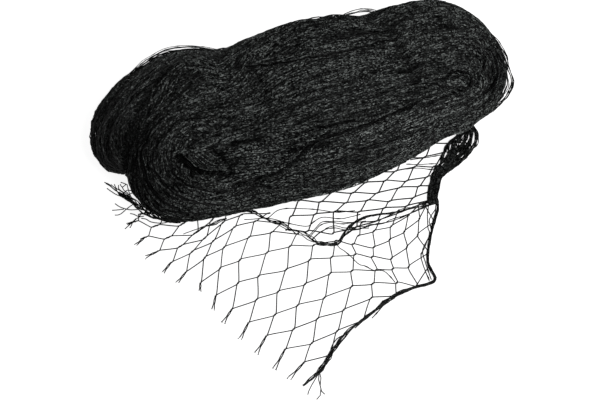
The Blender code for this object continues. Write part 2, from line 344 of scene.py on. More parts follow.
# %% The crease
CREASE = (
    (-0.360, -0.010), (-0.327, 0.008), (-0.312, 0.049), (-0.291, 0.077), (-0.266, 0.096), (-0.233, 0.113),
    (-0.193, 0.129), (-0.151, 0.131), (-0.104, 0.145), (-0.060, 0.165), (0.400, 0.600),
)
DIVE = 0.026
DIVE_TOP = 0.002
DIVE_TOP_REAR = 0.012
DIVE_WIDTH = 0.018
LEFT_FROM = -0.15
DIVE_FADE = 0.10
LEFT_FADE = 0.12
LOW_FROM = 0.11
LOW_FADE = 0.07
# Painted shade on the twine: where it faces the ends, low at the left, in shut folds and on the rear skein.
CROWN_LIGHT = 1.05
LEFT_LOSS = 0.80
RIGHT_LOSS = 0.70
LOW_LOSS = 0.6
SHUT_SHADE = 0.9
REAR_SHADE = 0.74


def crease_at(x):
    for (x0, y0), (x1, y1) in zip(CREASE, CREASE[1:]):
        if x < x1:
            break
    return y0 + (y1 - y0) * (x - x0) / (x1 - x0)


def dive(place, side):
    """How far under the surface a strand goes near the crease; side is 1 behind it and -1 in front."""
    beyond = side * (crease_at(place.x) - place.y) / DIVE_WIDTH
    top = DIVE_TOP_REAR if side == 1 else DIVE_TOP
    deep = top + (DIVE - top) * max(0.0, min(1.0, (LEFT_FROM - place.x) / DIVE_FADE))
    return deep * max(0.0, min(1.0, beyond + 0.3))


def lit_at(place, way):
    """Share of its brightness that twine shows at a place, which is painted shade: least at the ends, less
    low at the left.
    """
    at_left = max(0.0, min(1.0, (LEFT_FROM - place.x) / LEFT_FADE))
    low = max(0.0, min(1.0, (LOW_FROM - place.z) / LOW_FADE))
    facing = CROWN_LIGHT - LEFT_LOSS * max(0.0, -way.x) - RIGHT_LOSS * max(0.0, way.x)
    return facing * (1.0 - LOW_LOSS * at_left * low)


def lay_on_hank(eyes, side, angle, share, tilt, lift):
    """Place on the hank for a point of a strand, and the painted light and shade that the strand carries
    there.
    """
    start, way = aim(eyes, angle, share, tilt)
    hit = hank_surface.ray_cast(start, way)[0]
    sink, shut = groove_at(hit)
    place = hit + way * (lift - sink - dive(hit, side))
    place.z = max(place.z, FLOOR_LIFT)
    return place, lit_at(hit, way) * (REAR_SHADE if side == 1 else 1.0) * (1.0 - SHUT_SHADE * shut)


print("the crease goes from", CREASE[0], "to", CREASE[-2])

# %% [markdown]
# Where locks of strands part, the hank has folds. The longest run lengthways above and below the middle,
# one crosses the right part, and several curl round the eyes. Each is a depth, a width and a line on the
# hank, in metres. Strands sink near the line and are painted darker there, as painted shade. The folds of
# the left eye have their own table, because the turns of the eye make their lips. The hollows are wider and
# take hardly any painted shade. They lower the rims where slack strands and the tangle stand off the hank,
# the bowl of the left eye and the sides of two locks.

# %% Folds of the hank
FOLDS_ON_HANK = (
    (0.007, 0.0045, ((-0.087, 0.094, 0.152), (-0.065, 0.074, 0.168), (-0.045, 0.063, 0.175),
        (-0.012, 0.049, 0.186), (0.017, 0.039, 0.195), (0.051, 0.030, 0.200), (0.084, 0.029, 0.197),
        (0.122, 0.028, 0.193), (0.156, 0.030, 0.188), (0.183, 0.036, 0.180), (0.206, 0.035, 0.181))),
    (0.004, 0.0035, ((-0.021, -0.029, 0.193), (0.014, -0.033, 0.198), (0.060, -0.035, 0.198),
        (0.098, -0.032, 0.195), (0.133, -0.028, 0.191), (0.154, -0.018, 0.189))),
    (0.0045, 0.0050, ((-0.116, -0.125, 0.124), (-0.086, -0.132, 0.134), (-0.058, -0.131, 0.145),
        (-0.034, -0.126, 0.158), (-0.017, -0.117, 0.167), (-0.001, -0.113, 0.173), (0.029, -0.118, 0.176),
        (0.075, -0.118, 0.174), (0.114, -0.113, 0.171), (0.150, -0.106, 0.167), (0.175, -0.103, 0.165),
        (0.197, -0.096, 0.165))),
    (0.004, 0.0035, ((-0.243, -0.006, 0.157), (-0.231, 0.005, 0.159), (-0.216, 0.007, 0.162),
        (-0.190, 0.003, 0.167), (-0.152, -0.008, 0.170), (-0.121, -0.025, 0.172),
        (-0.103, -0.040, 0.173))),
    (0.005, 0.0035, ((-0.254, -0.010, 0.153), (-0.270, -0.021, 0.146), (-0.279, -0.041, 0.140),
        (-0.279, -0.065, 0.135), (-0.268, -0.092, 0.130), (-0.245, -0.118, 0.119), (-0.215, -0.131, 0.106),
        (-0.164, -0.140, 0.086))),
    (0.006, 0.0060, ((-0.275, 0.007, 0.139), (-0.287, -0.006, 0.133), (-0.293, -0.024, 0.129),
        (-0.297, -0.052, 0.125), (-0.293, -0.082, 0.119), (-0.279, -0.107, 0.108),
        (-0.258, -0.123, 0.095))),
    (0.005, 0.0035, ((-0.247, -0.049, 0.142), (-0.252, -0.064, 0.135), (-0.248, -0.080, 0.132),
        (-0.231, -0.105, 0.134), (-0.201, -0.123, 0.127), (-0.160, -0.132, 0.117))),
    (0.007, 0.0040, ((0.255, -0.066, 0.165), (0.270, -0.057, 0.161), (0.286, -0.056, 0.159),
        (0.302, -0.066, 0.155), (0.304, -0.083, 0.155), (0.296, -0.092, 0.154))),
    (0.004, 0.0035, ((0.240, -0.080, 0.167), (0.262, -0.087, 0.161), (0.283, -0.098, 0.154))),
    (0.005, 0.0035, ((0.311, -0.015, 0.181), (0.332, -0.026, 0.170), (0.342, -0.045, 0.160),
        (0.334, -0.071, 0.152))),
    (0.006, 0.0050, ((0.357, -0.019, 0.158), (0.365, -0.043, 0.146), (0.361, -0.070, 0.137),
        (0.342, -0.092, 0.137), (0.316, -0.106, 0.138))),
    (0.005, 0.0035, ((0.213, -0.066, 0.173), (0.241, -0.081, 0.167), (0.273, -0.098, 0.155))),
    (0.004, 0.0035, ((-0.052, -0.151, 0.107), (-0.029, -0.151, 0.124), (-0.007, -0.154, 0.124),
        (0.020, -0.158, 0.119))),
    (0.004, 0.0035, ((0.043, -0.142, 0.156), (0.089, -0.145, 0.144), (0.138, -0.140, 0.138),
        (0.190, -0.132, 0.127))),
    (0.004, 0.0035, ((-0.008, -0.093, 0.175), (0.034, -0.103, 0.183), (0.071, -0.104, 0.182))),
)
EYE_FOLDS = (
    (0.018, 0.0065, ((-0.238, -0.045, 0.144), (-0.231, -0.050, 0.139), (-0.225, -0.056, 0.133),
        (-0.219, -0.065, 0.129), (-0.213, -0.074, 0.129), (-0.204, -0.087, 0.133), (-0.187, -0.098, 0.136),
        (-0.166, -0.108, 0.137))),
    (0.012, 0.0050, ((-0.176, -0.053, 0.148), (-0.168, -0.063, 0.143), (-0.161, -0.075, 0.139),
        (-0.158, -0.087, 0.139), (-0.156, -0.102, 0.138), (-0.155, -0.116, 0.133),
        (-0.149, -0.129, 0.119))),
    (0.007, 0.0045, ((-0.146, -0.063, 0.158), (-0.136, -0.065, 0.161), (-0.122, -0.069, 0.165),
        (-0.103, -0.074, 0.167), (-0.090, -0.081, 0.164))),
)
HOLLOWS_ON_HANK = (
    (0.009, 0.020, ((-0.245, 0.185, 0.104), (-0.229, 0.188, 0.108), (-0.210, 0.191, 0.111),
        (-0.191, 0.190, 0.119), (-0.171, 0.183, 0.128), (-0.153, 0.178, 0.129))),
    (0.010, 0.017, ((-0.321, -0.062, 0.054), (-0.318, -0.070, 0.050), (-0.308, -0.086, 0.045),
        (-0.296, -0.098, 0.042))),
    (0.006, 0.018, ((0.397, 0.040, 0.113), (0.403, 0.028, 0.109), (0.407, 0.007, 0.103),
        (0.407, -0.008, 0.101))),
    (0.012, 0.024, ((0.407, -0.018, 0.100), (0.406, -0.038, 0.089), (0.400, -0.056, 0.077),
        (0.390, -0.071, 0.071), (0.374, -0.085, 0.067))),
    (0.007, 0.018, ((0.366, -0.090, 0.066), (0.356, -0.098, 0.064), (0.336, -0.109, 0.065),
        (0.317, -0.112, 0.056))),
    (0.010, 0.0130, ((-0.203, -0.060, 0.137), (-0.190, -0.070, 0.134), (-0.175, -0.082, 0.136))),
    (0.0055, 0.0085, ((0.199, 0.046, 0.179), (0.204, 0.020, 0.180), (0.202, -0.004, 0.180),
        (0.206, -0.030, 0.178), (0.203, -0.055, 0.175), (0.204, -0.078, 0.168))),
    (0.0018, 0.0130, ((-0.072, 0.066, 0.166), (-0.062, 0.026, 0.176), (-0.061, 0.001, 0.179),
        (-0.055, -0.033, 0.185), (-0.052, -0.045, 0.184))),
)
FOLD_STEP = 0.003
DARK_DEPTH = 0.006
DARK_WIDTH = 0.009

fold_spots = []
for depth, width, stops in FOLDS_ON_HANK + EYE_FOLDS + HOLLOWS_ON_HANK:
    for a, b in zip(stops, stops[1:]):
        a, b = Vector(a), Vector(b)
        count = max(1, round((b - a).length / FOLD_STEP))
        for i in range(count):
            fold_spots.append((a.lerp(b, i / count), depth, width))
fold_tree = KDTree(len(fold_spots))
for number, (spot, _, _) in enumerate(fold_spots):
    fold_tree.insert(spot, number)
fold_tree.balance()


def groove_at(place):
    """How deep the hank is folded in at a place, and how shut the fold is there, from 0 to 1, which sets its
    painted shade.
    """
    _, number, away = fold_tree.find(place)
    _, depth, width = fold_spots[number]
    near = math.exp(-(away / width) ** 2)
    return depth * near, near * min(1.0, depth / DARK_DEPTH) * min(1.0, DARK_WIDTH / width)


shortest, longest = loop_length(FRONT_EYES, 0.2), loop_length(FRONT_EYES, 1.5)
print("loops are", round(shortest, 2), "to", round(longest, 2), "m long")

# %% [markdown]
# ## Strands of the hank
# Between two knots a strand leans one way, and between the next two it leans back, so that it meets its
# left and its right neighbour in turn. That zigzag, a little open here and shut there, gives the hank its
# fine slanting grain. Slow waves in the angle make locks of strands drift over each other, and waves in the
# height raise some locks and leave dark gaps between them; the raised locks are painted brighter and the
# gaps darker, as painted light and shade. Deeper strands are painted darker, as painted shade. The front
# skein has four layers and the rear one three.

# %% Strands of the hank
ZIGZAG = 0.027
WOUND_FROM = -0.01
WOUND_TO = 2.5
WOUND_TWINE = 0.88
BAR_POINTS = (
    (0.0, KNOT), (0.10, WOUND_TWINE), (0.37, WOUND_TWINE), (0.63, WOUND_TWINE), (0.90, WOUND_TWINE),
)
LOCK_HEIGHT = 0.0045
LOCK_DRIFT = 0.09
WEAVE = 0.0016
# Painted glints, and painted shade that grows with depth:
FLECK_LEAST = 0.03
FLECK_RANGE = 0.56
UNLIT_DEPTH = 0.010
# Painted light on raised locks and painted shade in the gaps between them:
LOCK_LIGHT_LEAST = 0.15
LOCK_LIGHT_BROAD = 0.7
LOCK_LIGHT_NARROW = 1.3


def fleck(depth):
    """Tone of the twine at a point: mostly dark, now and then a bright painted glint, and darker down in the
    hank as painted shade.
    """
    return (FLECK_LEAST + FLECK_RANGE * random.random() ** 2) * (1.0 - depth / UNLIT_DEPTH)


def ring_noise(share, angle, round_it, across, seed):
    """Smooth noise that closes on itself round a loop."""
    turn = 2 * math.pi * share
    return noise.noise(Vector((math.cos(turn) * round_it + seed, math.sin(turn) * round_it, angle * across)))


def wound_strand(eyes, side, layer, number, angle, depth):
    """Points of one strand that loops round the two eyes at an angle."""
    bars = 2 * round(loop_length(eyes, angle) / (2 * GATHERED_BAR))
    shift = 3.0 * noise.noise(Vector((number * 0.13, layer * 7.3, 0.5)))
    points = []
    for bar in range(bars):
        lean = 1 if (bar + number) % 2 else -1
        for part, thickness in BAR_POINTS:
            share = (bar + part + shift) / bars
            open_ = 0.6 + 2.0 * abs(ring_noise(share, angle, 3.0, 6.0, layer * 3.1))
            zigzag = lean * (1 - 2 * part) * ZIGZAG * open_
            drift = min(1.0, angle / 0.4) * LOCK_DRIFT * ring_noise(share, angle, 1.6, 5.0, layer * 5.7)
            at = angle + zigzag + drift
            broad = ring_noise(share, at, 1.3, 9.0, 2.0)
            narrow = ring_noise(share, at, 2.5, 26.0, 8.0)
            lift = LOCK_HEIGHT * (broad + 0.7 * narrow) + WEAVE * (random.random() - 0.5)
            # Raised locks are painted brighter and the gaps darker: painted light and shade.
            lock_light = max(LOCK_LIGHT_LEAST, 1.0 + LOCK_LIGHT_BROAD * broad + LOCK_LIGHT_NARROW * narrow)
            place, lit = lay_on_hank(eyes, side, angle, share, at, lift - depth)
            points.append((place, thickness, fleck(depth) * lit * lock_light))
    return points


def wound_layer(name, eyes, side, layer, depth, spacing):
    """One layer of a skein, as one piece."""
    first, last = WOUND_FROM, WOUND_TO
    count = round((last - first) / spacing)
    lines = []
    for number in range(count):
        angle = first + (last - first) * (number + random.random() * 0.6) / count
        lines.append(wound_strand(eyes, side, layer, number, angle, depth))
    obj = draw_twine(name, lines, 3, black_twine, closed=True)
    return obj


# %% Front skein
LAYERS = ((0.0055, 0.030), (0.0035, 0.027), (0.0015, 0.022), (0.0, 0.020))
for layer, (depth, spacing) in enumerate(LAYERS):
    wound_layer(f"front_skein_{layer + 1}", FRONT_EYES, -1, layer, depth, spacing)

# %% Rear skein
for layer, (depth, spacing) in enumerate(LAYERS[1:]):
    wound_layer(f"rear_skein_{layer + 1}", REAR_EYES, 1, layer + 9, depth, spacing * 1.2)

# %% [markdown]
# The strands at the lips of a fold run along it, a little raised and close together, so that a light edge
# shows on either side. Those between the lips are coloured black, as painted shade, and make the dark line.
# All of them dip at the fold's ends. The folds of the left eye get only the dark ones.

# %% Strands along the folds
LIP_STRANDS = 2
LIP_LIFT = 0.0010
LIP_DIP = 0.006
LIP_SPACING = 0.0018
LIP_WAVE = 0.0050
LIP_STEP = 0.006
LIP_TONE = 0.08
LIP_TONE_RANGE = 0.25
FULL_DEPTH = 0.006


def along_surface(stops, step):
    """Places a step apart on the straight lines between stops."""
    places = []
    for a, b in zip(stops, stops[1:]):
        a, b = Vector(a), Vector(b)
        count = max(1, round((b - a).length / step))
        places += [a.lerp(b, i / count) for i in range(count)]
    return places + [Vector(stops[-1])]


lip_lines = []
for number, (depth, width, stops) in enumerate(FOLDS_ON_HANK + EYE_FOLDS):
    route = along_surface(stops, LIP_STEP)
    last = len(route) - 1
    lips = [side * (width + LIP_SPACING * step) for side in (-1, 1) for step in range(LIP_STRANDS)]
    if number >= len(FOLDS_ON_HANK):
        lips = []
    for away in lips + [0.0, 0.4 * width]:
        line = []
        for i, spot in enumerate(route):
            way = (route[min(i + 1, last)] - route[max(i - 1, 0)]).normalized()
            across = hank_surface.find_nearest(spot)[1].cross(way).normalized()
            shaded = abs(away) < 0.5 * width
            wave = LIP_WAVE * noise.noise(Vector((i * 0.35, 0.0 if shaded else away * 700, number)))
            near, out = hank_surface.find_nearest(spot + across * (away + wave))[:2]
            end = min(i, last - i) / 3.0
            lift = LIP_LIFT - LIP_DIP * max(0.0, 1.0 - end) + WEAVE * (random.random() - 0.5)
            # Strands in the fold get tone 0: painted shade.
            if shaded:
                uneven = 0.8 + 1.5 * noise.noise(Vector((i * 0.5, number * 3.1, 9.0)))
                thickness = min(1.0, depth / FULL_DEPTH) * uneven
                line.append((near + out * lift, max(0.2, thickness), 0.0))
            else:
                tone = lit_at(near, out) * (LIP_TONE + LIP_TONE_RANGE * random.random())
                line.append((near + out * lift, WOUND_TWINE, tone))
        lip_lines.append(line)
fold_strands = draw_twine("fold_strands", lip_lines, 3, black_twine)

# %% [markdown]
# The left eye is open: its inner turns show as a nest of small arcs, between the deep hollow and the
# crossing lock. Above them a lock of strands closes the eye. Each arc lies part of the way from the
# outermost to the innermost, and every other arc is painted brighter, as a painted highlight.

# %% Turns in the left eye
EYE_OUTER = (
    (-0.222, -0.049, 0.141), (-0.214, -0.059, 0.133), (-0.210, -0.067, 0.129), (-0.203, -0.077, 0.130),
    (-0.189, -0.089, 0.133), (-0.162, -0.099, 0.138),
)
EYE_INNER = (
    (-0.188, -0.052, 0.145), (-0.180, -0.058, 0.141), (-0.176, -0.063, 0.139), (-0.172, -0.068, 0.137),
    (-0.168, -0.073, 0.137), (-0.164, -0.078, 0.138),
)
EYE_LOCK = (
    (-0.246, -0.047, 0.143), (-0.236, -0.042, 0.146), (-0.223, -0.044, 0.145), (-0.209, -0.048, 0.145),
    (-0.192, -0.050, 0.146), (-0.179, -0.050, 0.149), (-0.165, -0.049, 0.156), (-0.148, -0.049, 0.163),
)
EYE_TURNS = 11
EYE_LIFT = 0.0020
EYE_BRIGHT = 0.42
EYE_DIM = 0.12
EYE_LOCK_STRANDS = 4

eye_lines = []
for turn in range(EYE_TURNS):
    share = turn / (EYE_TURNS - 1)
    stops = [Vector(a).lerp(Vector(b), share) for a, b in zip(EYE_OUTER, EYE_INNER)]
    # Every other turn is painted brighter: a painted highlight.
    bright = EYE_BRIGHT if turn % 2 == 0 else EYE_DIM
    line = []
    for spot in smooth_route(stops, 0.004):
        near, out = hank_surface.find_nearest(spot)[:2]
        line.append((near + out * (EYE_LIFT - 0.002 * share + 0.0006 * random.random()), WOUND_TWINE,
                     bright * (0.6 + 0.8 * random.random())))
    eye_lines.append(line)
for step in range(EYE_LOCK_STRANDS):
    line = []
    for i, spot in enumerate(smooth_route(EYE_LOCK, 0.005)):
        near, out = hank_surface.find_nearest(spot + Vector((0.0, 0.0016 * step, 0.0008 * step)))[:2]
        wave = 0.0015 * noise.noise(Vector((i * 0.4, step * 2.0, 4.0)))
        line.append((near + out * (EYE_LIFT + wave), WOUND_TWINE, 0.12 + 0.25 * random.random()))
    eye_lines.append(line)
eye = draw_twine("left_eye", eye_lines, 3, black_twine)

# %% [markdown]
# ## Core of the hank
# Under the strands that are drawn lie hundreds more. A dark core in the shape of the imported hank stands for
# them, a little smaller, so that only it shows between the strands, with a low tone that is painted shade. It
# is a copy of the imported solid with its corners merged, remeshed finely, sunk, and grained along the hank.

# %% Core
CORE_SINK = 0.0075
CORE_VOXEL = 0.006
CORE_TONE = 0.10
CORE_GLOSS = 0.6

bpy.ops.object.select_all(action="DESELECT")
core_mesh = hank.data.copy()
core = bpy.data.objects.new("wound_core", core_mesh)
bpy.context.scene.collection.objects.link(core)
bpy.context.view_layer.objects.active = core
core.select_set(True)
bpy.ops.object.mode_set(mode="EDIT")
bpy.ops.mesh.select_all(action="SELECT")
bpy.ops.mesh.remove_doubles(threshold=0.00001)
bpy.ops.object.mode_set(mode="OBJECT")
remesh = core.modifiers.new("fine skin", "REMESH")
remesh.mode = "VOXEL"
remesh.voxel_size = CORE_VOXEL
bpy.ops.object.modifier_apply(modifier=remesh.name)
sunk = []
for vert in core.data.vertices:
    groove = 0.002 * noise.noise(Vector((vert.co.x * 6, vert.co.y * 90, vert.co.z * 90)))
    sunk.append(vert.co - vert.normal * (CORE_SINK + groove + 1.3 * groove_at(vert.co)[0]))
for vert, place in zip(core.data.vertices, sunk):
    vert.co = (place.x, place.y, max(place.z, 0.0))
bpy.ops.object.shade_smooth()
# The core's low tone is painted shade of the strands deep in the hank.
core_shade = core.data.attributes.new("tone", "FLOAT", "POINT")
core_shade.data.foreach_set("value", [CORE_TONE] * len(core.data.vertices))
core.data.materials.clear()
core.data.materials.append(twine_material("wound_shade", TWINE_DARK, TWINE_PAINTED_LIGHT, CORE_GLOSS))
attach(core, "root")
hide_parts("hank")
print("core", len(core.data.polygons), "faces")

# %% [markdown]
# ## The spread net
# The loose end lies flat. Its knots follow a small table: a row for each line of knots, counted from the
# cut edge inwards, with a place at each station along the edge. Each knot of a real net is a sheet bend,
# drawn tight and a few millimetres long. Two bars enter it from the outer side and two leave on the inner
# side, so each bar starts along the knot and then bends away.

# %% Lattice of the spread net
FRONT_STATIONS = (-3, 0, 3, 6, 9, 11)
FRONT_LINES = (
    (0, (-0.345, -0.030), (-0.316, -0.137), (-0.260, -0.221), (-0.203, -0.324), (-0.140, -0.429),
        (-0.100, -0.490)),
    (2, (-0.290, -0.040), (-0.239, -0.122), (-0.196, -0.168), (-0.135, -0.287), (-0.068, -0.393),
        (-0.025, -0.445)),
    (4, (-0.230, -0.040), (-0.180, -0.085), (-0.126, -0.139), (-0.064, -0.248), (0.010, -0.352),
        (0.050, -0.385)),
    (6, (-0.170, -0.030), (-0.110, -0.070), (-0.060, -0.150), (-0.008, -0.226), (0.064, -0.338),
        (0.125, -0.372)),
    (8, (-0.100, -0.030), (-0.040, -0.070), (0.005, -0.150), (0.034, -0.228), (0.098, -0.316),
        (0.150, -0.335)),
    (10, (-0.030, -0.030), (0.040, -0.080), (0.070, -0.150), (0.085, -0.210), (0.139, -0.264),
        (0.185, -0.275)),
    (12, (0.050, -0.030), (0.110, -0.090), (0.130, -0.150), (0.150, -0.190), (0.175, -0.215),
        (0.200, -0.225)),
)
GATHERED_STATION = 9.5
GATHERED_SLACK = 0.15
FRONT_ROWS = (
    (1, -2, 9), (2, -1.5, 8.5), (3, 1, 9), (4, 2.5, 8.5), (5, 6, 9), (6, 6.5, 9.5), (7, 7, 9),
    (8, 6.5, 9.5), (9, 6, 9), (10, 6.5, 9.5), (11, 8, 9),
)
BACK_STATIONS = (0, 2.5, 5, 6)
BACK_LINES = (
    (0, (-0.084, -0.174), (0.015, -0.212), (0.125, -0.209), (0.176, -0.209)),
    (1, (-0.062, -0.150), (0.035, -0.176), (0.143, -0.203), (0.190, -0.203)),
    (2, (-0.041, -0.126), (0.058, -0.163), (0.157, -0.190), (0.196, -0.190)),
    (3, (-0.015, -0.113), (0.080, -0.151), (0.180, -0.171), (0.206, -0.178)),
    (4, (0.010, -0.100), (0.106, -0.136), (0.197, -0.159), (0.226, -0.164)),
    (5, (0.035, -0.088), (0.130, -0.120), (0.222, -0.140), (0.250, -0.150)),
    (6, (0.060, -0.070), (0.155, -0.104), (0.248, -0.121), (0.276, -0.134)),
    (7, (0.085, -0.050), (0.180, -0.088), (0.272, -0.102), (0.298, -0.116)),
)
RIGHT_EDGE = (
    (-0.156, -0.465), (-0.120, -0.449), (-0.079, -0.415), (-0.034, -0.392), (0.009, -0.377),
    (0.053, -0.362), (0.091, -0.360), (0.130, -0.358), (0.132, -0.321), (0.158, -0.273), (0.191, -0.224),
    (0.199, -0.195),
)


print("lattice of", len(FRONT_LINES), "lines in front and", len(BACK_LINES), "behind")


def net_point(stations, lines, station, line):
    """Place in a lattice at a station along its lines and a number across them."""
    numbers = [row[0] for row in lines]
    place = []
    for axis in (0, 1):
        along = [smooth_value(stations, [point[axis] for point in row[1:]], station) for row in lines]
        place.append(smooth_value(numbers, along, line))
    return Vector(place)


def nearest_on_route(point, route):
    places = []
    for a, b in zip(route, route[1:]):
        start, run = Vector(a), Vector(b) - Vector(a)
        f = max(0.0, min(1.0, (point - start).dot(run) / run.length_squared))
        places.append(start + run * f)
    return min(places, key=lambda place: (place - point).length)


# %% [markdown]
# Two strands name a knot: p counts them one way and q the other. Their mean is the station along the cut
# edge, and their difference the line inwards. A knot also wanders a little off its even place, as it does
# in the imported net.

# %% Knots and bars
KNOT_WANDER = 0.0025
WANDER_TURN = 2.4
KNOT_HALF = 0.0020
KNOT_STRETCH = 0.0013
KNOT_LIFT = 0.0006
BAR_LEAD = 0.22
BAR_STEPS = 6
BAR_SWING = 0.0014
OPEN_TWINE = 1.05
BACK_TWINE = 1.30


def wander(p, q):
    phase = WANDER_TURN * (p + q * math.sqrt(2))
    return Vector((math.cos(phase), math.sin(phase))) * KNOT_WANDER


def front_knot(p, q):
    station = (p + q) / 2
    place = net_point(FRONT_STATIONS, FRONT_LINES, station, p - q)
    if station >= GATHERED_STATION:
        return nearest_on_route(place, RIGHT_EDGE).lerp(place, GATHERED_SLACK)
    return place + wander(p, q)


def back_knot(column, line):
    return net_point(BACK_STATIONS, BACK_LINES, column, line) + wander(column, line)


def front_cells():
    for line, first, last in FRONT_ROWS:
        for step in range(int(last - first) + 1):
            middle = first + step
            yield round(middle + (line - 1) / 2), round(middle - (line + 1) / 2)


def back_cells():
    for line in range(BACK_LINES[-1][0]):
        for column in range(BACK_STATIONS[-1]):
            yield column, line


def bars_of(cells, sides):
    """The sides of all the diamonds, each once, from its outer to its inner knot."""
    found = set()
    for p, q in cells:
        for (a, b), (c, d) in sides:
            found.add(((p + a, q + b), (p + c, q + d)))
    return sorted(found)


FRONT_SIDES = (((0, 1), (1, 1)), ((0, 0), (1, 0)), ((0, 1), (0, 0)), ((1, 1), (1, 0)))
BACK_SIDES = (((0, 0), (1, 0)), ((0, 1), (1, 1)), ((0, 0), (0, 1)), ((1, 0), (1, 1)))


def on_floor(place, height=0.0):
    return Vector((place[0], place[1], FLOOR_LIFT + height))


def bend(a, lead_a, b, lead_b, steps):
    """Places on the smooth curve from a to b that leaves along lead_a and arrives along lead_b."""
    places = []
    for i in range(steps + 1):
        f = i / steps
        places.append(a * (2 * f ** 3 - 3 * f ** 2 + 1) + lead_a * (f ** 3 - 2 * f ** 2 + f)
                      + b * (3 * f ** 2 - 2 * f ** 3) + lead_b * (f ** 3 - f ** 2))
    return places


def knot_axis(place, key):
    """Way that a knot points, from its outer to its inner side."""
    p, q = key
    return (place(p + 0.5, q - 0.5) - place(p - 0.5, q + 0.5)).normalized()


print(len(list(front_cells())), "diamonds in front and", len(list(back_cells())), "behind")

# %% Bars of the spread net
LOOSE_TONE = 0.05


def knot_half(station):
    """Half the length of a knot: short in the open net, long where it is pulled together at the left."""
    return KNOT_HALF + max(0.0, 3.0 - station) * KNOT_STRETCH


def net_lines(bars, place, axis_of, half_of, thickness):
    lines = []
    for outer, inner in bars:
        way_out, way_in = axis_of(outer), axis_of(inner)
        a = place(*outer) + way_out * half_of(outer)
        b = place(*inner) - way_in * half_of(inner)
        lead = (b - a).length * BAR_LEAD
        places = bend(a, way_out * lead, b, way_in * lead, BAR_STEPS)
        swing = BAR_SWING * noise.noise(Vector((a.x * 40, b.y * 40, 1.5)))
        across = Vector((-(b - a).y, (b - a).x)).normalized()
        line = []
        for i, spot in enumerate(places):
            bulge = math.sin(math.pi * i / BAR_STEPS)
            tone = LOOSE_TONE * random.random() * 2.0
            spot = on_floor(spot + across * swing * bulge, KNOT_LIFT * (1.0 - 0.6 * bulge))
            line.append((spot, thickness, tone))
        lines.append(line)
    return lines


def front_axis(key):
    return knot_axis(lambda p, q: net_point(FRONT_STATIONS, FRONT_LINES, (p + q) / 2, p - q), key)


def back_axis(key):
    column, line = key
    here = net_point(BACK_STATIONS, BACK_LINES, column, line)
    return (net_point(BACK_STATIONS, BACK_LINES, column + 0.5, line + 0.5) - here).normalized()


def front_half(key):
    return knot_half((key[0] + key[1]) / 2)


def back_half(key):
    return KNOT_HALF


front_bars = bars_of(front_cells(), FRONT_SIDES)
back_bars = bars_of(back_cells(), BACK_SIDES)
spread_lines = net_lines(front_bars, front_knot, front_axis, front_half, OPEN_TWINE)
spread_lines += net_lines(back_bars, back_knot, back_axis, back_half, BACK_TWINE)
spread_length = sum((b[0] - a[0]).length for line in spread_lines for a, b in zip(line, line[1:]))
print("twine in the spread net", round(spread_length, 2), "m in", len(spread_lines), "bars")
spread = draw_twine("spread_net", spread_lines, 6, black_twine)
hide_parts("loose_net")

# %% [markdown]
# ## Knots
# A sheet bend drawn tight is a short spindle: the two strands of one diamond run through it, and the strand
# of the next is wrapped round them. So each knot is a core that swells in the middle, and a turn and a half
# of twine on it.

# %% Knots
WRAP_TURNS = 1.6
WRAP_STEPS = 10


def knot_lines(place, axis, half):
    across = Vector((-axis.y, axis.x, 0.0))
    along = Vector((axis.x, axis.y, 0.0))
    centre = on_floor(place, KNOT_LIFT)
    core = []
    for part, thickness in ((-1.15, 1.1), (-0.45, 1.5), (0.45, 1.5), (1.15, 1.1)):
        core.append((centre + along * half * part, thickness, 0.05))
    wrap = []
    start = random.random() * 2 * math.pi
    for i in range(WRAP_STEPS + 1):
        part = 2 * i / WRAP_STEPS - 1
        turn = start + math.pi * WRAP_TURNS * part
        radius = TWINE * (0.75 - 0.3 * part * part)
        spot = centre + along * half * 0.75 * part
        spot += (across * math.cos(turn) + Vector((0, 0, 1)) * math.sin(turn)) * radius
        wrap.append((spot, 0.8, LOOSE_TONE * 1.5))
    return [core, wrap]


knot_twine = []
for key in sorted({key for bar in front_bars for key in bar}):
    knot_twine += knot_lines(front_knot(*key), front_axis(key), front_half(key))
for key in sorted({key for bar in back_bars for key in bar}):
    knot_twine += knot_lines(back_knot(*key), back_axis(key), back_half(key))
knots = draw_twine("spread_knots", knot_twine, 4, black_twine)

# %% [markdown]
# ## Cut ends
# The net was cut just outside its row of knots. Two short ends stand out of each edge knot, side by side at
# first, then forking, and their fibres are frayed at the tip.

# %% Cut ends
CUT_ENDS = {
    -2: (-0.013, 0.000), -1: (-0.019, -0.009), 0: (-0.022, -0.003), 1: (-0.0185, -0.0134),
    2: (-0.0185, -0.0134),
    3: (-0.005, -0.014), 4: (-0.012, -0.022), 5: (-0.020, -0.017), 6: (-0.022, -0.023), 7: (-0.026, -0.024),
    8: (-0.027, -0.026), 9: (-0.032, -0.018),
}
CORNER = (-0.121, -0.450)
CORNER_ENDS = ((-0.033, -0.033), (-0.022, -0.046), (-0.006, -0.042))
FORK_AT = 0.60
FORK_TURN = math.radians(9)


def turned(way, angle):
    return Vector((way.x * math.cos(angle) - way.y * math.sin(angle),
                   way.x * math.sin(angle) + way.y * math.cos(angle)))


